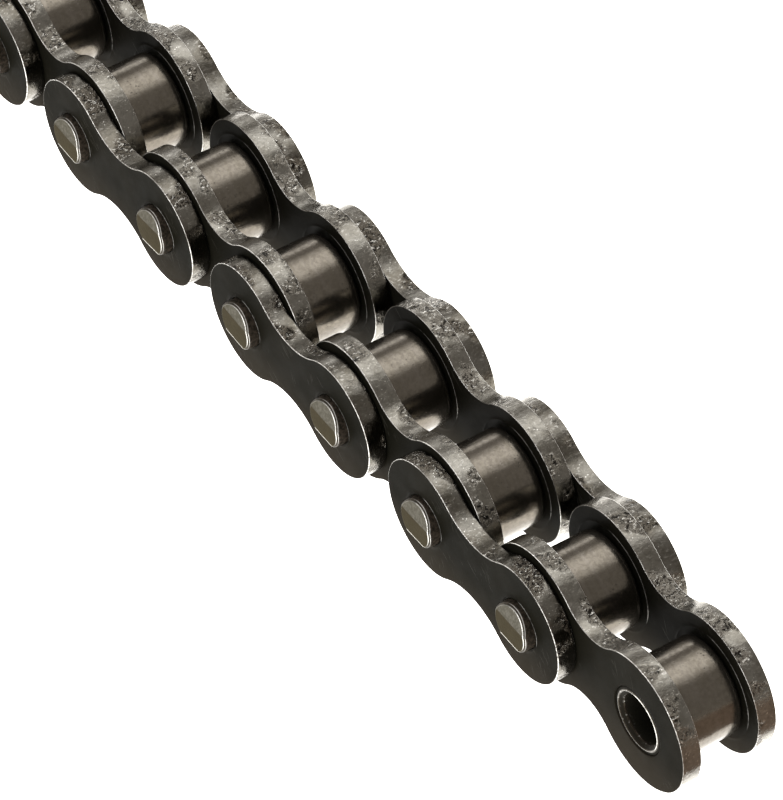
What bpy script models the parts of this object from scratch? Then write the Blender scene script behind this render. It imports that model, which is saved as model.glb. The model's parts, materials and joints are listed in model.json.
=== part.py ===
"""A length of narrow roller chain, 15.875 mm in pitch, with an open inner link at each end.

The chain runs along X, its pins lie along Y, and it stands on the round ends of its inner
plates, so the origin is on the ground under the middle of the chain. Its axes, the lines
that the bushes and pins are centred on, are numbered from 1 at the +X end. Every link hangs
from an empty on the axis that hinges it to the link before it, so turning that empty about Y
bends the chain there. Lengths are in metres.
"""

import math

import bmesh
import bpy

MM = 0.001

# The chain
PITCH = 15.875 * MM
PITCH_COUNT = 9  # odd, so that the chain begins and ends with an inner link
AXIS_COUNT = PITCH_COUNT + 1

# Widths along the pins
INNER_WIDTH = 6.4 * MM  # between the two inner plates of a link
PLATE_THICKNESS = 2.0 * MM
SIDE_PLAY = 0.15 * MM  # between an inner plate and the outer plate beside it
ROLLER_END_PLAY = 0.1 * MM  # between a roller's end and the inner plate beside it
PIN_LENGTH = 17.1 * MM

# Plates, seen from the side: two round ends and a waist between them
INNER_PLATE_HEIGHT = 14.6 * MM
INNER_WAIST_HEIGHT = 9.2 * MM
OUTER_PLATE_HEIGHT = 12.6 * MM
OUTER_WAIST_HEIGHT = 7.5 * MM

# Round pieces
PIN_DIAMETER = 5.08 * MM
PIN_CHAMFER = 0.3 * MM
BUSH_DIAMETER = 7.05 * MM
BUSH_BORE = 5.18 * MM
ROLLER_DIAMETER = 10.16 * MM
ROLLER_BORE = 7.22 * MM
ROLLER_CHAMFER = 0.3 * MM
PRESS_GAP = 0.02 * MM  # radial hairline left where a bush or a pin is pressed into a plate

# Facets
ROUND_STEPS = 24
ARC_STEP = 2 * math.pi / ROUND_STEPS
SHARP_ANGLE = math.radians(35)
WELD_DISTANCE = 0.001 * MM

# Places worked out from the above
GROUND_TO_AXIS = INNER_PLATE_HEIGHT / 2
INNER_PLATE_Y = (INNER_WIDTH + PLATE_THICKNESS) / 2
BUSH_LENGTH = INNER_WIDTH + 2 * PLATE_THICKNESS
OUTER_PLATE_Y = BUSH_LENGTH / 2 + SIDE_PLAY + PLATE_THICKNESS / 2
ROLLER_LENGTH = INNER_WIDTH - 2 * ROLLER_END_PLAY

# Turns a shape made about local Z so that it lies along Y
ALONG_Y = (math.pi / 2, 0, 0)
SIDES = {"left": 1, "right": -1}  # left is +Y when facing the +X end


def clear_scene():
    """Remove whatever the scene holds."""
    for thing in list(bpy.data.objects):
        bpy.data.objects.remove(thing, do_unlink=True)


def new_collection(name):
    """Return a new collection linked to the scene."""
    collection = bpy.data.collections.new(name)
    bpy.context.scene.collection.children.link(collection)
    return collection


def steel(name, colour, roughness, metallic):
    """Return a steel finish as a Principled material."""
    material = bpy.data.materials.new(name)
    material.use_nodes = True
    shader = material.node_tree.nodes["Principled BSDF"]
    shader.inputs["Base Color"].default_value = (*colour, 1)
    shader.inputs["Roughness"].default_value = roughness
    shader.inputs["Metallic"].default_value = metallic
    material.diffuse_color = (*colour, 1)
    return material


def arc(centre, radius, start, end):
    """Return points along an arc: its start, then each whole step before its end."""
    turn = 1 if end > start else -1
    whole = [k * ARC_STEP for k in range(-2 * ROUND_STEPS, 2 * ROUND_STEPS)][::turn]
    angles = [start] + [a for a in whole if turn * start < turn * a < turn * end]
    return [
        (centre[0] + radius * math.cos(a), centre[1] + radius * math.sin(a)) for a in angles
    ]


def circle(centre, radius):
    """Return the corners of a round hole."""
    return arc(centre, radius, 0, 2 * math.pi)


def plate_outline(height, waist_height):
    """Return a link plate's outline: two round ends joined by hollow arcs tangent to them."""
    end = height / 2
    waist = waist_height / 2
    reach = PITCH / 2
    hollow = (reach**2 + waist**2 - end**2) / (2 * (end - waist))
    lean = math.atan2(waist + hollow, reach)
    return (
        arc((reach, 0), end, lean - math.pi, math.pi - lean)
        + arc((0, waist + hollow), hollow, -lean, lean - math.pi)
        + arc((-reach, 0), end, lean, 2 * math.pi - lean)
        + arc((0, -waist - hollow), hollow, math.pi - lean, lean)
    )


def finished_mesh(maker, name, material):
    """Turn a curve or modified object into a welded mesh, and remove the object."""
    bpy.context.view_layer.update()
    evaluated = maker.evaluated_get(bpy.context.evaluated_depsgraph_get())
    mesh = bpy.data.meshes.new_from_object(evaluated)
    bpy.data.objects.remove(maker, do_unlink=True)
    shape = bmesh.new()
    shape.from_mesh(mesh)
    bmesh.ops.remove_doubles(shape, verts=shape.verts, dist=WELD_DISTANCE)
    shape.to_mesh(mesh)
    shape.free()
    mesh.shade_smooth()
    mesh.set_sharp_from_angle(angle=SHARP_ANGLE)
    mesh.name = name
    mesh.materials.clear()
    mesh.materials.append(material)
    return mesh


def plate_mesh(name, material, height, waist_height, hole_radius):
    """Return a flat link plate with a hole at each end, its thickness along local Z."""
    curve = bpy.data.curves.new(name, "CURVE")
    curve.dimensions = "2D"
    curve.fill_mode = "BOTH"
    curve.extrude = PLATE_THICKNESS / 2
    holes = [circle((x, 0), hole_radius) for x in (PITCH / 2, -PITCH / 2)]
    for points in [plate_outline(height, waist_height), *holes]:
        spline = curve.splines.new("POLY")
        spline.points.add(len(points) - 1)
        for point, (x, y) in zip(spline.points, points):
            point.co = (x, y, 0, 1)
        spline.use_cyclic_u = True
    maker = bpy.data.objects.new(name, curve)
    bpy.context.scene.collection.objects.link(maker)
    return finished_mesh(maker, name, material)


def turned_mesh(name, material, profile, closed):
    """Return the solid that a profile of (radius, height) points sweeps about local Z."""
    points = [(radius, 0, height) for radius, height in profile]
    edges = [(k, k + 1) for k in range(len(points) - 1)]
    if closed:
        edges.append((len(points) - 1, 0))
    mesh = bpy.data.meshes.new(name + "_profile")
    mesh.from_pydata(points, edges, [])
    maker = bpy.data.objects.new(name, mesh)
    bpy.context.scene.collection.objects.link(maker)
    screw = maker.modifiers.new("Turn", "SCREW")
    screw.axis = "Z"
    screw.angle = 2 * math.pi
    screw.steps = ROUND_STEPS
    screw.render_steps = ROUND_STEPS
    screw.use_merge_vertices = True
    screw.merge_threshold = WELD_DISTANCE
    return finished_mesh(maker, name, material)


def pin_mesh(material):
    """Return a pin: a plain round bar with a chamfer at each end."""
    radius = PIN_DIAMETER / 2
    half = PIN_LENGTH / 2
    profile = [
        (0, half),
        (radius - PIN_CHAMFER, half),
        (radius, half - PIN_CHAMFER),
        (radius, PIN_CHAMFER - half),
        (radius - PIN_CHAMFER, -half),
        (0, -half),
    ]
    return turned_mesh("pin", material, profile, closed=False)


def bush_mesh(material):
    """Return a bush: a plain tube, flush with the inner plates' outer faces."""
    radius = BUSH_DIAMETER / 2
    bore = BUSH_BORE / 2
    half = BUSH_LENGTH / 2
    profile = [(bore, half), (radius, half), (radius, -half), (bore, -half)]
    return turned_mesh("bush", material, profile, closed=True)


def roller_mesh(material):
    """Return a roller: a short tube with its outer corners taken off."""
    radius = ROLLER_DIAMETER / 2
    bore = ROLLER_BORE / 2
    half = ROLLER_LENGTH / 2
    profile = [
        (bore, half),
        (radius - ROLLER_CHAMFER, half),
        (radius, half - ROLLER_CHAMFER),
        (radius, ROLLER_CHAMFER - half),
        (radius - ROLLER_CHAMFER, -half),
        (bore, -half),
    ]
    return turned_mesh("roller", material, profile, closed=True)


def axis_x(number):
    """Return the X of an axis of the chain, numbered from 1 at the +X end."""
    return (PITCH_COUNT / 2 - (number - 1)) * PITCH


def place(chain, name, mesh, parent, x, y):
    """Add one piece of the chain, at x and y from its link's empty, and lay it along Y."""
    piece = bpy.data.objects.new(name, mesh)
    chain.objects.link(piece)
    piece.parent = parent
    piece.location = (x, y, 0)
    piece.rotation_euler = ALONG_Y
    return piece


def link_empty(chain, name, parent, first_axis):
    """Add a link's empty on its first axis, one pitch behind the empty of the link before."""
    empty = bpy.data.objects.new(name, None)
    chain.objects.link(empty)
    empty.empty_display_size = PITCH / 2
    if parent is None:
        empty.location = (axis_x(first_axis), 0, GROUND_TO_AXIS)
    else:
        empty.parent = parent
        empty.location = (-PITCH, 0, 0)
    return empty


def add_inner_link(chain, number, empty, first_axis, plate, bush, roller):
    """Add two plates on two bushes, with a roller round each bush."""
    for side, sign in SIDES.items():
        name = f"inner_plate_{number}_{side}"
        place(chain, name, plate, empty, -PITCH / 2, sign * INNER_PLATE_Y)
    for step in (0, 1):
        place(chain, f"bush_{first_axis + step}", bush, empty, -step * PITCH, 0)
        place(chain, f"roller_{first_axis + step}", roller, empty, -step * PITCH, 0)


def add_outer_link(chain, number, empty, first_axis, plate, pin):
    """Add two plates on two pins."""
    for side, sign in SIDES.items():
        name = f"outer_plate_{number}_{side}"
        place(chain, name, plate, empty, -PITCH / 2, sign * OUTER_PLATE_Y)
    for step in (0, 1):
        place(chain, f"pin_{first_axis + step}", pin, empty, -step * PITCH, 0)


def main():
    """Build the chain, one link after another from its +X end."""
    clear_scene()
    chain = new_collection("roller_chain")

    dark_plate = steel("dark_plate", (0.030, 0.028, 0.025), 0.42, 0.6)
    bush_steel = steel("bush_steel", (0.070, 0.066, 0.060), 0.36, 0.9)
    roller_steel = steel("roller_steel", (0.210, 0.180, 0.150), 0.34, 1.0)
    pin_steel = steel("pin_steel", (0.130, 0.120, 0.095), 0.38, 0.9)

    bush_hole = BUSH_DIAMETER / 2 + PRESS_GAP
    pin_hole = PIN_DIAMETER / 2 + PRESS_GAP
    inner_plate = plate_mesh(
        "inner_plate", dark_plate, INNER_PLATE_HEIGHT, INNER_WAIST_HEIGHT, bush_hole
    )
    outer_plate = plate_mesh(
        "outer_plate", dark_plate, OUTER_PLATE_HEIGHT, OUTER_WAIST_HEIGHT, pin_hole
    )
    bush = bush_mesh(bush_steel)
    roller = roller_mesh(roller_steel)
    pin = pin_mesh(pin_steel)

    before = None
    for first_axis in range(1, AXIS_COUNT):
        number = (first_axis + 1) // 2
        if first_axis % 2:
            before = link_empty(chain, f"inner_link_{number}", before, first_axis)
            add_inner_link(chain, number, before, first_axis, inner_plate, bush, roller)
        else:
            before = link_empty(chain, f"outer_link_{number}", before, first_axis)
            add_outer_link(chain, number, before, first_axis, outer_plate, pin)


main()
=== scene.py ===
"""The looks of a length of narrow roller chain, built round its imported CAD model.

Every CAD piece is replaced by a finer one in the same place: plates with blanked rims and
burnished corners, turned bushes and rollers, and pins with riveted ends. Lengths are in
metres, in the CAD's own frame: X along the chain, Y along the pins, Z up.
"""

import json
import math
import random

import bmesh
import bpy
from mathutils import Matrix, Vector, noise


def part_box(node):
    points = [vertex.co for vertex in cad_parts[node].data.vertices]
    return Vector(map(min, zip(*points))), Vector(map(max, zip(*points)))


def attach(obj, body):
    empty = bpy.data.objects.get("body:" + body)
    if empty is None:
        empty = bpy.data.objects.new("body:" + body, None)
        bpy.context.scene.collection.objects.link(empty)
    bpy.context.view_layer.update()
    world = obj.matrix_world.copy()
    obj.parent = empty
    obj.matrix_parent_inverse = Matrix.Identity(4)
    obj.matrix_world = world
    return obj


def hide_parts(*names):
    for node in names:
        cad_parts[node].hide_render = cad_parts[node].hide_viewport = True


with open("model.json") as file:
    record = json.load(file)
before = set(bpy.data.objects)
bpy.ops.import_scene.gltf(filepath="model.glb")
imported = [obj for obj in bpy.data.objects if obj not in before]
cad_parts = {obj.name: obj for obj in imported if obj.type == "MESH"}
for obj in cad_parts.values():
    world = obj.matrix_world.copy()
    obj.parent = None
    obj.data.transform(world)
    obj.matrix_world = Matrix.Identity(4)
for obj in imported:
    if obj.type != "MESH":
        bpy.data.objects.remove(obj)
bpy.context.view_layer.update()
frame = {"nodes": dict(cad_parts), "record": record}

MM = 0.001

# ---------------------------------------------------------------- what the frame gives
NODES = sorted(frame["nodes"])
NODE_BODY = {
    node: body
    for body, nodes in frame["record"]["behaviour"]["bodies"].items()
    for node in nodes
}


def middle(node):
    """Return the middle of a CAD node."""
    low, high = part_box(node)
    return (low + high) / 2


def extent(node):
    """Return the size of a CAD node along X, Y and Z."""
    low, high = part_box(node)
    return high - low


AXIS_Z = middle("bush_1").z
PITCH = (middle("bush_1") - middle("bush_2")).x
FRONT_X = middle("bush_1").x

# ---------------------------------------------------------------- shapes
INNER_WAIST = 8.8 * MM
OUTER_WAIST = 7.5 * MM
OUTLINE_STEP = 0.16 * MM  # between points along a plate's rim
RIM_STEPS = 11  # rows of faces across a rim, between its rounded corners
CORNER_STEPS = 4
FACE_CORNER = 0.08 * MM  # radius of a plate's corner on the side the punch came from
BACK_CORNER = 0.06 * MM
CORNER_MARGIN = 0.05 * MM  # of flat face, just inside a rounded corner
RIM_FADE = 0.12 * MM  # how far in from its rim a plate stops looking torn
HOLE_STEPS = 96
HOLE_CHAMFER = 0.1 * MM
HOLE_MARGIN = 0.5 * MM  # of even rows round a hole, where no mark reaches further
MARK_MARGIN = 0.3 * MM
INNER_MARK = (5.72 * MM, 0.08 * MM, 0.02 * MM, 0.7)  # radius, width, height and shine of a ring; the shine is worn metal with a painted highlight, brightest towards the light
OUTER_MARK = (2.84 * MM, 0.08 * MM, 0.03 * MM, 0.6)
PRESS_GAP = 0.02 * MM

ROUND_STEPS = 128
TURNED_CORNER_STEPS = 6
ROLLER_CORNER = 0.5 * MM
ROLLER_BORE = 3.61 * MM
ROLLER_BORE_BEVEL = 0.2 * MM
ROLLER_STEPS = 14  # rows of faces along a roller, between its rounded corners
ROLLER_WOBBLE = 0.012 * MM
BUSH_BORE = 2.59 * MM
BUSH_MOUTH_WIDTH = 0.5 * MM  # of the chamfer in each mouth of its bore
BUSH_MOUTH_DEPTH = 0.42 * MM
BUSH_LIP = 0.1 * MM  # size of the rounding at both edges of that chamfer
BUSH_BEVEL = 0.1 * MM
BUSH_INSIDE = 1.6 * MM  # how far in from its end a row divides the bore

PIN_AROUND = 96
PIN_CAP_ROWS = 20
PIN_EDGE_ROWS = 9
PIN_EDGE_START = math.radians(28)  # slope at which the rounded edge leaves the end's crease
PIN_CREASE = 0.05 * MM  # how far inside the crease the last row of the end lies
PIN_CAP = 0.27 * MM  # how far inside the pin its end face stops, at a crease
PIN_FALL = 0.36 * MM  # how far below its end face the pin is full again
PIN_CROWN = 0.03 * MM
PIN_UNEVEN = 0.012 * MM
PIN_WORN_HIGHLIGHT_ROWS = {0: 0.3, 1: 1.0, 2: 0.05, 4: 0.15, 5: 0.75, 6: 0.15}  # worn metal with painted highlight lines, by edge row
PIN_SEAT = 1.3 * MM  # how far below its end a pin goes into its plate

LIT_SIDE = math.radians(42)  # the way round a hole or pin, from +X to +Z, where its painted highlight is brightest, towards the light
HOLE_DIM_SIDE = 0.12  # how bright the painted highlight is on the side that faces away from the light, beside the brightest
BUSH_DIM_SIDE = 0.4
PIN_DIM_SIDE = 0.35


def arc_points(centre, radius, start, end, outward, step):
    """Return (point, outward normal) pairs along an arc, without its last point."""
    count = max(2, round(abs(end - start) * radius / step))
    pairs = []
    for k in range(count):
        a = start + (end - start) * k / count
        way = Vector((math.cos(a), math.sin(a)))
        pairs.append((Vector(centre) + radius * way, outward * way))
    return pairs


def plate_path(end, waist):
    """Return (point, outward normal) pairs round a link plate, in its own X and Z."""
    reach = PITCH / 2
    hollow = (reach**2 + waist**2 - end**2) / (2 * (end - waist))
    lean = math.atan2(waist + hollow, reach)
    high = waist + hollow
    step = OUTLINE_STEP
    return (
        arc_points((reach, 0), end, lean - math.pi, math.pi - lean, 1, step)
        + arc_points((0, high), hollow, -lean, lean - math.pi, -1, step)
        + arc_points((-reach, 0), end, lean, 2 * math.pi - lean, 1, step)
        + arc_points((0, -high), hollow, math.pi - lean, lean, -1, step)
    )


def smooth_step(value, low, high):
    """Return 0 below low, 1 above high, and a smooth rise between them."""
    t = min(1.0, max(0.0, (value - low) / (high - low)))
    return t * t * (3 - 2 * t)


def tearing(point, normal, seed):
    """Return how torn a blanked rim is at a point, 0 to 1: in clusters, most on its crests."""
    crest = abs(normal.y) - 0.75
    return smooth_step(noise.noise((point / MM + seed) * 0.42) + 0.3 * crest, 0.0, 0.26)


def rim_pit(point, torn, seed):
    """Return how far a blanked rim is torn in at a point."""
    spot = point / MM + seed
    pits = max(0.0, noise.noise(spot * 2.3)) + 0.6 * max(0.0, noise.noise(spot * 4.7))
    drag = noise.noise(Vector((spot.x * 2.6, spot.y * 0.5, spot.z * 2.6)))
    return (0.11 * torn * pits + 0.008 * (drag + 0.5)) * MM


def lit_side_highlight(angle, least):
    """Return how bright the painted highlight on an edge round a hole or a pin is, by the way that
    it faces the light.
    """
    return least + (1 - least) * smooth_step(math.cos(angle - LIT_SIDE), 0.2, 0.8)


def corner_profile(half, corner, side):
    """Return (inset, y, edge) rows round one corner of a plate, from its face to its rim."""
    rows = []
    for k in range(CORNER_STEPS + 1):
        a = math.pi / 2 * k / CORNER_STEPS
        inset = corner * (1 - math.sin(a))
        y = side * (half - corner * (1 - math.cos(a)))
        rows.append((inset, y, math.sin(2 * a)))
    return rows


def join_rows(shape, above, below):
    """Fill the band between two closed rows of corners."""
    count = len(above)
    for k in range(count):
        m = (k + 1) % count
        shape.faces.new((above[k], above[m], below[m], below[k]))


def finished(shape, name, material):
    """Turn a bmesh into a smooth-shaded object with one material."""
    bmesh.ops.recalc_face_normals(shape, faces=shape.faces)
    mesh = bpy.data.meshes.new(name)
    shape.to_mesh(mesh)
    shape.free()
    mesh.shade_smooth()
    mesh.materials.append(material)
    piece = bpy.data.objects.new(name, mesh)
    bpy.context.scene.collection.objects.link(piece)
    return piece


def rim_profile(half, front):
    """Return (inset, y, edge) rows across a plate's rim, from its +Y face to its -Y face."""
    corners = {1: BACK_CORNER, -1: BACK_CORNER}
    corners[front] = FACE_CORNER
    upper = corner_profile(half, corners[1], 1)
    lower = corner_profile(half, corners[-1], -1)[::-1]
    top, low = upper[-1][1], lower[0][1]
    across = [(0.0, top + (low - top) * k / RIM_STEPS, 0.0) for k in range(1, RIM_STEPS)]
    return (
        [(corners[1] + CORNER_MARGIN, half, 0.0), *upper, *across, *lower]
        + [(corners[-1] + CORNER_MARGIN, -half, 0.0)]
    )


def hole_profile(half, hole, marks):
    """Return (radius, y, edge) rows through a plate's hole, from its +Y face to its -Y face."""
    reach = max([radius + width for _, radius, width, _, _ in marks] + [hole + HOLE_MARGIN])
    profile = []
    for side in (1, -1):
        bands = [
            (hole, half - HOLE_CHAMFER, 0.3),
            (hole + HOLE_CHAMFER, half, 0.6),
            (hole + 1.6 * HOLE_CHAMFER, half, 0.0),
        ]
        for mark_side, radius, width, height, shine in marks:
            if mark_side == side:
                bands += [
                    (radius - width, half, 0.0),
                    (radius - width * 0.45, half + height, shine),
                    (radius + width * 0.45, half + height, shine),
                    (radius + width, half, 0.0),
                ]
        bands.append((reach + MARK_MARGIN, half, 0.0))
        bands = [(radius, side * y, wear_and_highlight) for radius, y, wear_and_highlight in bands]
        profile += bands[::-1] if side == 1 else bands
    return profile


def plate(node, waist, hole, front, marks, tone, material, seed):
    """Return a link plate.

    front is the side, +1 or -1 along Y, that the punch came from. marks is a list of
    (side, radius, width, height, shine) rings pressed up or down round each hole. tone is how
    pale its rim is, 0 to 1.
    """
    centre = middle(node)
    size = extent(node)
    end = size.z / 2
    half = size.y / 2
    path = plate_path(end, waist / 2)
    shape = bmesh.new()
    rim = shape.verts.layers.float.new("rim")
    edge = shape.verts.layers.float.new("edge")
    tear = shape.verts.layers.float.new("torn")
    pale = shape.verts.layers.float.new("tone")

    rows = []
    for inset, y, wear_and_highlight in rim_profile(half, front):
        on_rim = 1.0 - smooth_step(inset, 0.0, RIM_FADE)
        row = []
        for point, normal in path:
            spot = Vector((centre.x + point.x, centre.y + y, centre.z + point.y))
            torn = tearing(spot, normal, seed)
            pit = rim_pit(spot, torn, seed) * on_rim * (1.0 if wear_and_highlight == 0.0 else 0.5)
            inner = point - normal * (inset + pit)
            vert = shape.verts.new((centre.x + inner.x, centre.y + y, centre.z + inner.y))
            vert[rim] = on_rim
            vert[edge] = wear_and_highlight
            vert[tear] = torn
            vert[pale] = tone
            row.append(vert)
        rows.append(row)
    for above, below in zip(rows, rows[1:]):
        join_rows(shape, above, below)

    loops = {1: [rows[0]], -1: [rows[-1]]}
    for hole_x in (PITCH / 2, -PITCH / 2):
        hole_rows = []
        for radius, y, wear_and_highlight in hole_profile(half, hole, marks):
            row = []
            for k in range(HOLE_STEPS):
                a = 2 * math.pi * k / HOLE_STEPS
                x = centre.x + hole_x + radius * math.cos(a)
                vert = shape.verts.new((x, centre.y + y, centre.z + radius * math.sin(a)))
                # worn edges, with a painted highlight that is brightest on the side towards the
                # light
                vert[edge] = wear_and_highlight * lit_side_highlight(a, HOLE_DIM_SIDE)
                row.append(vert)
            hole_rows.append(row)
        for above, below in zip(hole_rows, hole_rows[1:]):
            join_rows(shape, above, below)
        loops[1].append(hole_rows[0])
        loops[-1].append(hole_rows[-1])

    for side in (1, -1):
        borders = []
        for loop in loops[side]:
            for k, vert in enumerate(loop):
                borders.append(shape.edges.get((vert, loop[(k + 1) % len(loop)])))
        bmesh.ops.triangle_fill(
            shape, edges=borders, use_beauty=True, use_dissolve=False, normal=(0, side, 0)
        )
    return finished(shape, node + "_look", material)


def turned_ring(node, profile, material, wobble=0.0, seed=None, least=1.0):
    """Return a ring turned about a CAD node's axis from a closed (radius, y, edge) profile.

    least is how bright the painted highlight on its edges is, on the side that faces away from the
    light.
    """
    centre = middle(node)
    shape = bmesh.new()
    edge = shape.verts.layers.float.new("edge")
    rows = []
    for radius, y, wear_and_highlight in profile:
        row = []
        for k in range(ROUND_STEPS):
            a = 2 * math.pi * k / ROUND_STEPS
            way = Vector((math.cos(a), 0, math.sin(a)))
            spot = centre + radius * way + Vector((0, y, 0))
            if wobble:
                spot += way * wobble * noise.noise((spot / MM + seed) * 0.35)
            vert = shape.verts.new(spot)
            # edge brightness, with a painted highlight that is brightest on the side towards the
            # light
            vert[edge] = wear_and_highlight * lit_side_highlight(a, least)
            row.append(vert)
        rows.append(row)
    for above, below in zip(rows, rows[1:] + rows[:1]):
        join_rows(shape, above, below)
    return finished(shape, node + "_look", material)


def rounded_corner(radius, y, corner, turn):
    """Return (radius, y, edge) points round the corner of a turned piece.

    radius and y are where its two sides would meet. turn is +1 from the end face at +Y to
    the outer side, and -1 from the outer side to the end face at -Y.
    """
    points = []
    for k in range(TURNED_CORNER_STEPS + 1):
        a = math.pi / 2 * k / TURNED_CORNER_STEPS
        if turn == -1:
            a = math.pi / 2 - a
        inward = corner * (1 - math.sin(a))
        along = corner * (1 - math.cos(a))
        points.append((radius - inward, y - turn * along, math.sin(2 * a)))
    return points


def roller(node, material, seed):
    """Return a roller: a short tube with well-rounded outer corners."""
    size = extent(node)
    outer = size.x / 2
    half = size.y / 2
    bevel = ROLLER_BORE_BEVEL
    side_top = half - ROLLER_CORNER
    side = [
        (outer, side_top * (1 - 2 * k / ROLLER_STEPS), 0.0) for k in range(1, ROLLER_STEPS)
    ]
    profile = (
        [(ROLLER_BORE, half - bevel, 0.0), (ROLLER_BORE + bevel, half, 0.4)]
        + rounded_corner(outer, half, ROLLER_CORNER, 1)
        + side
        + rounded_corner(outer, -half, ROLLER_CORNER, -1)
        + [(ROLLER_BORE + bevel, -half, 0.4), (ROLLER_BORE, bevel - half, 0.0)]
    )
    return turned_ring(node, profile, material, wobble=ROLLER_WOBBLE, seed=seed)


def bush(node, material):
    """Return a bush: a thin tube, with a broad chamfer and a bead at each mouth of its bore."""
    size = extent(node)
    outer = size.x / 2
    half = size.y / 2
    bevel = BUSH_BEVEL
    lip = BUSH_LIP
    rim = BUSH_BORE + BUSH_MOUTH_WIDTH
    # the third number of each row marks the bare chamfer and how bright its painted highlight is
    upper = [
        (BUSH_BORE, half - BUSH_INSIDE, 0.0),
        (BUSH_BORE, half - BUSH_MOUTH_DEPTH - lip, 0.1),
        (BUSH_BORE + 0.4 * lip, half - BUSH_MOUTH_DEPTH, 0.25),
        (BUSH_BORE + lip, half - BUSH_MOUTH_DEPTH + lip, 0.1),
        (rim - lip, half - lip, 0.1),
        (rim - 0.4 * lip, half - 0.3 * lip, 0.45),
        (rim, half, 1.2),
        (rim + 0.6 * lip, half - 0.2 * lip, 0.62),
        (rim + 1.3 * lip, half - 0.6 * lip, 0.15),
        (rim + 2.0 * lip, half - lip, 0.0),
        (outer - bevel * 1.5, half - lip, 0.0),
        (outer - bevel, half - lip, 0.0),
        (outer, half - lip - bevel, 0.0),
        (outer, half - lip - 2 * bevel, 0.0),
    ]
    lower = [(radius, -y, wear_and_highlight) for radius, y, wear_and_highlight in upper[::-1]]
    return turned_ring(node, upper + lower, material, least=BUSH_DIM_SIDE)


def rivet_shape(radius, chance):
    """Return a function of x and z that gives a riveted end's depth and its two slopes.

    The riveting tool leaves a flat band between two straight edges. Above it the end slopes
    back gently, and below it steeply. high and low are how far past those edges a place is.
    """
    twist = math.radians(chance.uniform(-4, 4))
    high_edge = (0.9 + chance.uniform(-0.2, 0.2)) * MM
    low_edge = (1.72 + chance.uniform(-0.12, 0.12)) * MM
    high_slope = math.tan(math.radians(chance.uniform(14, 18)))
    low_slope = math.tan(math.radians(chance.uniform(32, 38)))
    seed = Vector([chance.uniform(-90, 90) for _ in range(3)])

    def shape(x, z):
        across = z * math.cos(twist) - x * math.sin(twist)
        high, low = across - high_edge, -across - low_edge
        uneven = noise.noise(Vector((x, 0, z)) / MM * 1.1 + seed)
        depth = max(0.0, high) * high_slope + max(0.0, low) * low_slope
        depth += (1.0 + uneven) * PIN_UNEVEN * smooth_step(high, 0.0, 0.4 * MM)
        depth += PIN_CROWN * (x * x + z * z) / radius**2
        return depth, high, low

    return shape


def pin_profile(outer):
    """Return (radius, fall, edge) rings from the middle of a pin's end to its full width."""
    cap = outer - PIN_CAP
    rings = [(cap * k / PIN_CAP_ROWS, 0.0, 0.0) for k in range(1, PIN_CAP_ROWS)]
    rings.append((cap - PIN_CREASE, 0.0, 0.0))
    start = PIN_EDGE_START
    for k in range(PIN_EDGE_ROWS + 1):
        a = start + (math.radians(90) - start) * k / PIN_EDGE_ROWS
        out = (math.sin(a) - math.sin(start)) / (1 - math.sin(start))
        fall = PIN_FALL * (1 - math.cos(a) / math.cos(start))
        rings.append((cap + PIN_CAP * out, fall, PIN_WORN_HIGHLIGHT_ROWS.get(k, 0.0)))
    return rings


def pin(node, material, chance):
    """Return a pin with riveted ends."""
    centre = middle(node)
    size = extent(node)
    outer = size.x / 2
    half = size.y / 2
    shape = bmesh.new()
    edge = shape.verts.layers.float.new("edge")
    high_layer = shape.verts.layers.float.new("high")
    low_layer = shape.verts.layers.float.new("low")
    wall = shape.verts.layers.float.new("wall")
    rows = [[], []]
    for half_rows, side in zip(rows, (1, -1)):
        depth_at = rivet_shape(outer, chance)
        for radius, fall, wear_and_highlight in pin_profile(outer):
            row = []
            for k in range(PIN_AROUND):
                a = 2 * math.pi * k / PIN_AROUND
                x, z = radius * math.cos(a), radius * math.sin(a)
                depth, high, low = depth_at(x, z)
                y = side * (half - depth - fall)
                vert = shape.verts.new((centre.x + x, centre.y + y, centre.z + z))
                # worn edges, with a painted highlight that is brightest on the side towards the
                # light
                vert[edge] = wear_and_highlight * lit_side_highlight(a, PIN_DIM_SIDE)
                vert[high_layer] = high / MM
                vert[low_layer] = low / MM
                vert[wall] = smooth_step(fall, 0.02 * MM, 0.13 * MM)
                row.append(vert)
            half_rows.append(row)
        tip = shape.verts.new((centre.x, centre.y + side * half, centre.z))
        _, high, low = depth_at(0, 0)
        tip[high_layer] = high / MM
        tip[low_layer] = low / MM
        inmost = half_rows[0]
        for k in range(PIN_AROUND):
            shape.faces.new((tip, inmost[k], inmost[(k + 1) % PIN_AROUND]))
        row = []
        for k in range(PIN_AROUND):
            a = 2 * math.pi * k / PIN_AROUND
            spot = Vector((outer * math.cos(a), side * (half - PIN_SEAT), outer * math.sin(a)))
            vert = shape.verts.new(centre + spot)
            vert[wall] = 1.0
            row.append(vert)
        half_rows.append(row)
    rows = rows[0] + rows[1][::-1]
    for above, below in zip(rows, rows[1:]):
        join_rows(shape, above, below)
    return finished(shape, node + "_look", material)


# ---------------------------------------------------------------- materials
FACE_DARK = (0.0066, 0.0063, 0.0045, 1)
FACE_PALE = (0.0088, 0.0080, 0.0056, 1)
FACE_BOUNCE_LIGHT = (0.030, 0.0245, 0.0175, 1)  # painted bounce light from the floor, browner, towards a plate's underside
SCUFF = (0.045, 0.043, 0.037, 1)
RIM_DARK = (0.098, 0.089, 0.072, 1)
RIM_PALE = (0.150, 0.142, 0.124, 1)
# a painted glint colour for the rims
RIM_GLINT = (0.190, 0.180, 0.158, 1)
RIM_TORN = (0.098, 0.085, 0.066, 1)
RIM_TONE = (0.40, 0.385, 0.345, 1)  # what the paler plates' rims are mixed with
# painted shade for the rims' hollows, then a painted glint colour for their crests
RIM_HOLLOW_SHADE = (0.010, 0.009, 0.007, 1)
RIM_CREST_GLINT = (0.66, 0.645, 0.60, 1)
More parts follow.
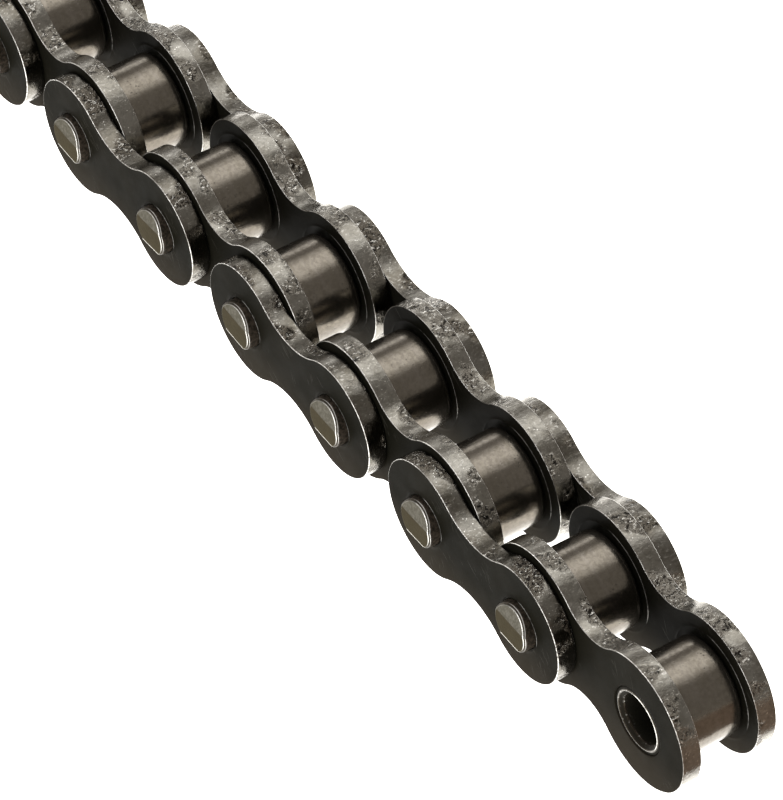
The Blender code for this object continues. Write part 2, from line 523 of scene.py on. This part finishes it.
# bare worn corners, also used for the painted highlights round the holes
BARE_CORNER_AND_HIGHLIGHT = (0.93, 0.92, 0.89, 1)

ROLLER_DARK = (0.122, 0.108, 0.086, 1)
ROLLER_PALE = (0.176, 0.158, 0.131, 1)
ROLLER_MOTTLE = (0.100, 0.086, 0.068, 1)
ROLLER_MARKS = (0.20, 0.18, 0.16, 1)
ROLLER_PIT = (0.04, 0.034, 0.028, 1)
ROLLER_EDGE = (0.30, 0.28, 0.25, 1)

BUSH_DARK = (0.009, 0.0085, 0.0065, 1)
BUSH_PALE = (0.013, 0.012, 0.009, 1)
BUSH_MOUTH = (0.034, 0.028, 0.021, 1)
# painted highlight and glints round a bush's mouth
BUSH_HIGHLIGHT = (0.88, 0.87, 0.83, 1)

PIN_FLAT_DARK = (0.033, 0.0295, 0.0225, 1)
PIN_FLAT_PALE = (0.047, 0.0415, 0.0325, 1)
# painted light: the upper slope of a riveted end is paler
PIN_LIT_SLOPE_DARK = (0.060, 0.057, 0.047, 1)
PIN_LIT_SLOPE_PALE = (0.100, 0.095, 0.082, 1)
PIN_SIDE_DARK = (0.018, 0.0153, 0.0115, 1)
PIN_SIDE_PALE = (0.048, 0.038, 0.029, 1)
# bright worn metal, also used for the pins' painted highlights
PIN_EDGE = (0.88, 0.87, 0.84, 1)


class Nodes:
    """A material's node tree, with short ways to add nodes and link them."""

    def __init__(self, name):
        self.material = bpy.data.materials.new(name)
        self.material.use_nodes = True
        self.tree = self.material.node_tree
        self.shader = self.tree.nodes["Principled BSDF"]
        self.place = self.add("ShaderNodeTexCoord").outputs["Object"]

    def add(self, kind, **settings):
        node = self.tree.nodes.new(kind)
        for key, value in settings.items():
            setattr(node, key, value)
        return node

    def link(self, source, target):
        if isinstance(source, (int, float, tuple)):
            target.default_value = source
        else:
            self.tree.links.new(source, target)

    def scaled(self, x, y, z):
        """Return the surface's own place, stretched by a factor along each axis."""
        node = self.add("ShaderNodeMapping")
        self.link(self.place, node.inputs["Vector"])
        node.inputs["Scale"].default_value = (x, y, z)
        return node.outputs["Vector"]

    def turned(self, degrees, along, across):
        """Return the surface's own place, turned about Y and then stretched along X and Z."""
        turn = self.add("ShaderNodeVectorRotate", rotation_type="Y_AXIS")
        self.link(self.place, turn.inputs["Vector"])
        turn.inputs["Angle"].default_value = math.radians(degrees)
        node = self.add("ShaderNodeMapping")
        self.link(turn.outputs["Vector"], node.inputs["Vector"])
        node.inputs["Scale"].default_value = (along, 1.0, across)
        return node.outputs["Vector"]

    def noise(self, per_mm, detail=3.0, rough=0.55, place=None, distortion=0.0):
        node = self.add("ShaderNodeTexNoise")
        self.link(place or self.place, node.inputs["Vector"])
        node.inputs["Scale"].default_value = per_mm / MM
        node.inputs["Detail"].default_value = detail
        node.inputs["Roughness"].default_value = rough
        node.inputs["Distortion"].default_value = distortion
        return node.outputs["Fac"]

    def cells(self, per_mm):
        """Return the distance to the nearest of many scattered points."""
        node = self.add("ShaderNodeTexVoronoi", feature="F1")
        self.link(self.place, node.inputs["Vector"])
        node.inputs["Scale"].default_value = per_mm / MM
        node.inputs["Randomness"].default_value = 1.0
        return node.outputs["Distance"]

    def ramp(self, value, low, high, start=0.0, end=1.0):
        """Return value's smooth rise from start to end as it goes from low to high."""
        node = self.add("ShaderNodeMapRange", interpolation_type="SMOOTHSTEP")
        self.link(value, node.inputs["Value"])
        node.inputs["From Min"].default_value = low
        node.inputs["From Max"].default_value = high
        node.inputs["To Min"].default_value = start
        node.inputs["To Max"].default_value = end
        return node.outputs["Result"]

    def math(self, operation, first, second=0.0):
        node = self.add("ShaderNodeMath", operation=operation)
        self.link(first, node.inputs[0])
        self.link(second, node.inputs[1])
        return node.outputs["Value"]

    def mix(self, amount, first, second):
        """Return a colour between two colours."""
        node = self.add("ShaderNodeMix", data_type="RGBA")
        self.link(amount, node.inputs["Factor"])
        self.link(first, node.inputs["A"])
        self.link(second, node.inputs["B"])
        return node.outputs["Result"]

    def blend(self, amount, first, second):
        """Return a number between two numbers."""
        node = self.add("ShaderNodeMix", data_type="FLOAT")
        self.link(amount, node.inputs["Factor"])
        self.link(first, node.inputs["A"])
        self.link(second, node.inputs["B"])
        return node.outputs["Result"]

    def attribute(self, name):
        return self.add("ShaderNodeAttribute", attribute_name=name).outputs["Fac"]

    def bump(self, height, depth_mm, normal=None):
        """Return a normal bent by a height of 0 to 1 that stands for depth_mm."""
        node = self.add("ShaderNodeBump")
        node.inputs["Strength"].default_value = 1.0
        node.inputs["Distance"].default_value = depth_mm * MM
        self.link(height, node.inputs["Height"])
        if normal is not None:
            self.link(normal, node.inputs["Normal"])
        return node.outputs["Normal"]


def plate_steel():
    """Dark dull faces, browner and paler towards the bottom as painted bounce light; torn grey rims
    with painted shade in their hollows and painted glints on their crests; corners burnished
    bright, with painted highlights round the holes.
    """
    n = Nodes("plate_steel_look")
    shader = n.shader
    rim = n.attribute("rim")
    edge = n.attribute("edge")

    # the flat faces
    cloud = n.ramp(n.noise(0.12, 4, 0.6), 0.35, 0.65)
    face = n.mix(cloud, FACE_DARK, FACE_PALE)
    axes = n.add("ShaderNodeSeparateXYZ")
    n.link(n.place, axes.inputs["Vector"])
    # painted bounce light: the faces turn browner and paler towards the bottom
    low = n.ramp(axes.outputs["Z"], 7.5 * MM, 0.5 * MM, 0.0, 0.6)
    face = n.mix(low, face, FACE_BOUNCE_LIGHT)
    scuffed = n.ramp(n.noise(0.22, 2), 0.53, 0.62)
    scratch = n.noise(1.0, 1, 0.5, place=n.turned(-34, 0.3, 6.0))
    crossing = n.noise(1.0, 1, 0.5, place=n.turned(-70, 0.4, 7.0))
    scratch = n.math("MAXIMUM", n.ramp(scratch, 0.68, 0.72), n.ramp(crossing, 0.70, 0.74))
    scratch = n.math("MULTIPLY", scratch, scuffed)
    face = n.mix(n.math("MULTIPLY", scratch, 0.7), face, SCUFF)

    # the blanked rims, with painted shade in dark hollows and painted glints on bright crests,
    # strongest where they are torn
    torn = n.attribute("torn")
    tone = n.attribute("tone")
    fine = n.noise(2.3, 4, 0.66, distortion=0.9)
    glint = n.noise(3.4, 4, 0.68, place=n.scaled(1.0, 0.55, 1.0), distortion=0.8)
    patch = n.ramp(n.noise(0.30, 3, 0.6), 0.38, 0.60)
    base = n.mix(patch, RIM_DARK, RIM_PALE)
    # painted glints: paler where the glint noise is high
    rim_colour = n.mix(n.ramp(glint, 0.35, 0.65, 0.0, 0.35), base, RIM_GLINT)
    rim_colour = n.mix(n.math("MULTIPLY", torn, 0.7), rim_colour, RIM_TORN)
    rim_colour = n.mix(n.math("MULTIPLY", tone, 0.2), rim_colour, RIM_TONE)
    # painted shade, darkest in the hollows of the rim's relief
    hollow = n.math("MULTIPLY", n.ramp(fine, 0.475, 0.42), n.blend(torn, 0.18, 0.97))
    rim_colour = n.mix(hollow, rim_colour, RIM_HOLLOW_SHADE)
    # painted glints on the crests and in scattered specks
    glint_speck = n.math("MULTIPLY", n.ramp(n.cells(2.2), 0.16, 0.08), n.ramp(patch, 0.2, 0.9))
    crest = n.math("MULTIPLY", n.ramp(glint, 0.58, 0.63), n.blend(torn, 0.18, 0.95))
    crest = n.math("MAXIMUM", n.math("MULTIPLY", glint_speck, 0.8), crest)
    rim_colour = n.mix(crest, rim_colour, RIM_CREST_GLINT)

    # the corners, worn bright in broken lines, and the edges round the holes, with a painted
    # highlight brightest towards the light
    colour = n.mix(rim, face, rim_colour)
    broken = n.ramp(n.noise(2.6, 3, 0.65), 0.32, 0.55, 0.2, 1.0)
    broken = n.math("MULTIPLY", broken, n.ramp(n.noise(0.22, 2), 0.38, 0.54, 0.4, 1.0))
    wear_and_highlight = n.math("MULTIPLY", n.ramp(edge, 0.4, 0.9), broken)
    colour = n.mix(wear_and_highlight, colour, BARE_CORNER_AND_HIGHLIGHT)
    n.link(colour, shader.inputs["Base Color"])

    n.link(n.math("MAXIMUM", rim, wear_and_highlight), shader.inputs["Metallic"])
    face_rough = n.ramp(n.noise(0.4, 4, 0.6), 0.3, 0.7, 0.42, 0.52)
    rim_rough = n.ramp(fine, 0.3, 0.7, 0.22, 0.13)
    rough = n.blend(rim, face_rough, rim_rough)
    rough = n.blend(wear_and_highlight, rough, 0.25)
    n.link(rough, shader.inputs["Roughness"])
    shader.inputs["Specular IOR Level"].default_value = 0.005

    relief = n.math("ADD", n.math("MULTIPLY", fine, 0.7), n.math("MULTIPLY", glint, 0.5))
    relief = n.math("SUBTRACT", relief, 0.6)
    relief = n.math("MULTIPLY", relief, n.blend(torn, 0.17, 1.3))
    grain = n.noise(5.0, 3, 0.6, place=n.scaled(1.0, 1.0, 0.3))
    height = n.blend(rim, n.math("MULTIPLY", grain, 0.04), relief)
    normal = n.bump(height, 0.17)
    normal = n.bump(n.math("SUBTRACT", 0.0, scratch), 0.006, normal)
    n.link(normal, shader.inputs["Normal"])
    return n.material


def roller_steel():
    """Brown-grey satin steel with faint marks round it and a few pitted patches."""
    n = Nodes("roller_steel_look")
    shader = n.shader
    edge = n.attribute("edge")
    cloud = n.noise(0.45, 4, 0.65)
    mottle = n.noise(2.6, 4, 0.65)
    round_marks = n.noise(1.6, 3, 0.65, place=n.scaled(0.15, 1.0, 0.15))
    colour = n.mix(cloud, ROLLER_DARK, ROLLER_PALE)
    colour = n.mix(n.ramp(mottle, 0.38, 0.62, 0.0, 0.55), colour, ROLLER_MOTTLE)
    colour = n.mix(n.ramp(round_marks, 0.4, 0.75, 0.0, 0.3), colour, ROLLER_MARKS)
    pit = n.math("MULTIPLY", n.ramp(n.cells(2.4), 0.22, 0.08), n.ramp(n.noise(0.33, 2), 0.52, 0.62))
    colour = n.mix(n.math("MULTIPLY", pit, 0.6), colour, ROLLER_PIT)
    colour = n.mix(n.math("MULTIPLY", edge, 0.3), colour, ROLLER_EDGE)
    n.link(colour, shader.inputs["Base Color"])
    shader.inputs["Metallic"].default_value = 0.93
    n.link(n.ramp(mottle, 0.3, 0.7, 0.15, 0.25), shader.inputs["Roughness"])
    ripple = n.noise(0.8, 4, 0.6, place=n.scaled(1.0, 0.35, 1.0))
    normal = n.bump(ripple, 0.020)
    normal = n.bump(mottle, 0.010, normal)
    normal = n.bump(n.math("SUBTRACT", 0.0, pit), 0.016, normal)
    n.link(normal, shader.inputs["Normal"])
    return n.material


def bush_steel():
    """Dark steel, bare in the chamfered mouth of its bore, with a painted highlight round it and
    painted glints in it.
    """
    n = Nodes("bush_steel_look")
    shader = n.shader
    cloud = n.noise(0.9, 4, 0.6)
    colour = n.mix(cloud, BUSH_DARK, BUSH_PALE)
    chips = n.ramp(n.noise(2.0, 3), 0.3, 0.6, 0.35, 1.0)
    edge = n.attribute("edge")
    bare = n.ramp(edge, 0.02, 0.10)
    colour = n.mix(bare, colour, BUSH_MOUTH)
    # painted glints in the chamfer, and a painted highlight round its edge
    glint_speck = n.math("MULTIPLY", n.ramp(n.noise(2.4, 3), 0.60, 0.66), bare)
    bright = n.math("MAXIMUM", n.ramp(edge, 0.25, 0.9), n.math("MULTIPLY", glint_speck, 0.4))
    bright = n.math("MULTIPLY", bright, chips)
    colour = n.mix(bright, colour, BUSH_HIGHLIGHT)
    n.link(colour, shader.inputs["Base Color"])
    n.link(n.math("MAXIMUM", n.math("MULTIPLY", bare, 0.8), bright), shader.inputs["Metallic"])
    shader.inputs["Specular IOR Level"].default_value = 0.005
    n.link(n.blend(bare, 0.42, 0.24), shader.inputs["Roughness"])
    turning = n.noise(5.0, 3, 0.6, place=n.scaled(0.3, 1.0, 0.3))
    n.link(n.bump(turning, 0.0025), shader.inputs["Normal"])
    return n.material


def pin_steel():
    """Olive-brown steel, paler on the upper slope of each riveted end as painted light, and bright
    on its edges, worn metal with painted highlights.
    """
    n = Nodes("pin_steel_look")
    shader = n.shader
    cloud = n.noise(0.8, 4, 0.6)
    marks = n.noise(3.2, 4, 0.7)
    flat = n.mix(cloud, PIN_FLAT_DARK, PIN_FLAT_PALE)
    # the upper slope is painted paler, as light falling on it
    slope = n.mix(n.ramp(marks, 0.4, 0.65), PIN_LIT_SLOPE_DARK, PIN_LIT_SLOPE_PALE)
    colour = n.mix(n.ramp(n.attribute("high"), 0.0, 0.05), flat, slope)
    wall = n.attribute("wall")
    side = n.mix(n.ramp(marks, 0.4, 0.6), PIN_SIDE_DARK, PIN_SIDE_PALE)
    colour = n.mix(wall, colour, side)
    # a painted highlight along the lower edge of each riveted end, on worn metal
    line = n.ramp(n.math("ABSOLUTE", n.attribute("low")), 0.13, 0.08)
    line = n.math("MULTIPLY", line, n.math("SUBTRACT", 1.0, wall))
    chips = n.ramp(marks, 0.3, 0.5, 0.6, 1.0)
    # painted highlight lines on the worn rounded edge, brightest towards the light
    crest = n.math("MULTIPLY", n.ramp(n.attribute("edge"), 0.1, 1.0), chips)
    wear_and_highlight = n.math("MAXIMUM", crest, line)
    colour = n.mix(wear_and_highlight, colour, PIN_EDGE)
    n.link(colour, shader.inputs["Base Color"])
    metal = n.blend(wall, 0.85, 0.2)
    n.link(n.math("MAXIMUM", metal, wear_and_highlight), shader.inputs["Metallic"])
    shader.inputs["Specular Tint"].default_value = (0.4, 0.39, 0.36, 1)
    shader.inputs["Specular IOR Level"].default_value = 0.1
    n.link(n.blend(wear_and_highlight, n.ramp(marks, 0.3, 0.7, 0.30, 0.42), 0.2), shader.inputs["Roughness"])
    normal = n.bump(n.noise(1.3, 3, 0.6), 0.014)
    normal = n.bump(marks, 0.006, normal)
    n.link(normal, shader.inputs["Normal"])
    return n.material


def pale_floor():
    """A plain pale sweep."""
    n = Nodes("pale_floor")
    n.shader.inputs["Base Color"].default_value = (0.6, 0.6, 0.6, 1)
    n.shader.inputs["Roughness"].default_value = 0.9
    n.shader.inputs["Specular IOR Level"].default_value = 0.1
    n.shader.inputs["Emission Color"].default_value = (1, 0.98, 0.94, 1)
    n.shader.inputs["Emission Strength"].default_value = 2.4
    return n.material


def shade_reflection_card():
    """A matt warm brown, standing in for shade in the chain's reflections."""
    n = Nodes("shade_reflection_card")
    n.shader.inputs["Base Color"].default_value = (0.42, 0.31, 0.24, 1)
    n.shader.inputs["Roughness"].default_value = 1.0
    return n.material


# ---------------------------------------------------------------- the chain
def dress_chain():
    """Replace every CAD node with its finer piece."""
    plates, rollers = plate_steel(), roller_steel()
    bushes, pins = bush_steel(), pin_steel()
    bush_hole = extent("bush_1").x / 2 + PRESS_GAP
    pin_hole = extent("pin_2").x / 2 + PRESS_GAP
    chance = random.Random(7)
    for node in NODES:
        seed = Vector([chance.uniform(-90, 90) for _ in range(3)])
        side = 1 if middle(node).y > 0 else -1
        if node.startswith("inner_plate"):
            marks = [(-side, *INNER_MARK)]
            piece = plate(node, INNER_WAIST, bush_hole, side, marks, 1.0, plates, seed)
        elif node.startswith("outer_plate"):
            marks = [(side, *OUTER_MARK)]
            piece = plate(node, OUTER_WAIST, pin_hole, side, marks, 0.0, plates, seed)
        elif node.startswith("roller"):
            piece = roller(node, rollers, seed)
        elif node.startswith("bush"):
            piece = bush(node, bushes)
        else:
            piece = pin(node, pins, chance)
        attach(piece, NODE_BODY[node])
        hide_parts(node)


# ---------------------------------------------------------------- camera, floor and light
CAMERA_AZIMUTH = math.radians(57.58)  # from -Y towards +X
CAMERA_HEIGHT_ANGLE = math.radians(46.16)
CAMERA_ROLL = math.radians(-1.42)
CAMERA_DISTANCE = 34.976 * PITCH
CAMERA_TARGET = Vector((FRONT_X - 2.936 * PITCH, -0.082 * PITCH, AXIS_Z))
CAMERA_LENS = 172.96
CAMERA_SENSOR = 24.0
CAMERA_NEAREST = 0.01

FLOOR_REACH = 4.0
FLOOR_Z = -0.1  # low enough for every link to hang clear of it when a hinge bends down
CARD_X = (FRONT_X + 0.0095, FRONT_X + 0.26)
CARD_Y = (-0.08, 0.16)
CARD_Z = 0.2 * MM

WORLD_COLOUR = (1, 0.94, 0.88, 1)
WORLD_STRENGTH = 0.47
OVERHEAD_WIDTHS = (1.30, 0.96, 0.56)  # of panels one below the other, brightest in the middle
OVERHEAD_STEP = 0.02


def add_camera():
    """Look along the chain from above its open front end."""
    data = bpy.data.cameras.new("camera")
    data.sensor_fit = "VERTICAL"
    data.sensor_height = CAMERA_SENSOR
    data.lens = CAMERA_LENS
    data.clip_start = CAMERA_NEAREST
    camera = bpy.data.objects.new("camera", data)
    bpy.context.scene.collection.objects.link(camera)
    back = Vector(
        (
            math.sin(CAMERA_AZIMUTH) * math.cos(CAMERA_HEIGHT_ANGLE),
            -math.cos(CAMERA_AZIMUTH) * math.cos(CAMERA_HEIGHT_ANGLE),
            math.sin(CAMERA_HEIGHT_ANGLE),
        )
    )
    turn = back.to_track_quat("Z", "Y").to_matrix().to_4x4()
    roll = Matrix.Rotation(CAMERA_ROLL, 4, "Z")
    camera.matrix_world = (
        Matrix.Translation(CAMERA_TARGET + back * CAMERA_DISTANCE) @ turn @ roll
    )
    bpy.context.scene.camera = camera


def soft_light(name, away, along, distance, offset, width, length, radiance):
    """Add a rectangular light facing the chain.

    away is the way from the chain to the light, along is the way its length runs, and
    offset is how far it is shifted that way.
    """
    data = bpy.data.lights.new(name, "AREA")
    data.shape = "RECTANGLE"
    data.size = width
    data.size_y = length
    data.energy = radiance * math.pi * width * length
    light = bpy.data.objects.new(name, data)
    bpy.context.scene.collection.objects.link(light)
    away = away.normalized()
    turn = Matrix((along.cross(away), along, away)).transposed().to_4x4()
    light.matrix_world = Matrix.Translation(away * distance + along * offset) @ turn


def above(height_angle):
    """Return the way at an angle up from +X, round the Y axis."""
    a = math.radians(height_angle)
    return Vector((math.cos(a), 0, math.sin(a)))


def stage_sheet(name, x_range, y_range, z, material):
    """Lay a flat rectangle that belongs to the stage."""
    (near, far), (right, left) = x_range, y_range
    mesh = bpy.data.meshes.new(name)
    corners = [(near, right, z), (far, right, z), (far, left, z), (near, left, z)]
    mesh.from_pydata(corners, [], [(0, 1, 2, 3)])
    mesh.materials.append(material)
    sheet = bpy.data.objects.new(name, mesh)
    bpy.context.scene.collection.objects.link(sheet)
    return sheet


def add_stage():
    """A pale floor under soft light from above, from the far end and from the near side.

    A brown card in front of the open end shows only in the chain's gloss, where it stands in for
    shade.
    """
    reach = (-FLOOR_REACH, FLOOR_REACH)
    stage_sheet("floor", reach, reach, FLOOR_Z, pale_floor())
    card = stage_sheet("card", CARD_X, CARD_Y, CARD_Z, shade_reflection_card())
    card.visible_camera = False
    card.visible_diffuse = False
    card.visible_shadow = False

    world = bpy.data.worlds.new("studio")
    world.use_nodes = True
    background = world.node_tree.nodes["Background"]
    background.inputs["Color"].default_value = WORLD_COLOUR
    background.inputs["Strength"].default_value = WORLD_STRENGTH
    bpy.context.scene.world = world

    across, ahead = Vector((0, 1, 0)), Vector((1, 0, 0))
    for k, width in enumerate(OVERHEAD_WIDTHS):
        soft_light(
            f"overhead_{k + 1}", above(105), across, distance=1.2 - OVERHEAD_STEP * k,
            offset=0.35, width=width, length=1.6, radiance=0.78,
        )
    soft_light(
        "far_end", above(159), across, distance=1.2,
        offset=0.4, width=0.26, length=1.2, radiance=1.8,
    )
    height_angle = math.radians(15)
    near_side = Vector((0, -math.cos(height_angle), math.sin(height_angle)))
    soft_light(
        "near_side", near_side, ahead, distance=1.3,
        offset=0.5, width=0.36, length=1.9, radiance=2.4,
    )


bpy.context.scene.view_settings.view_transform = "Standard"
add_camera()
dress_chain()
add_stage()
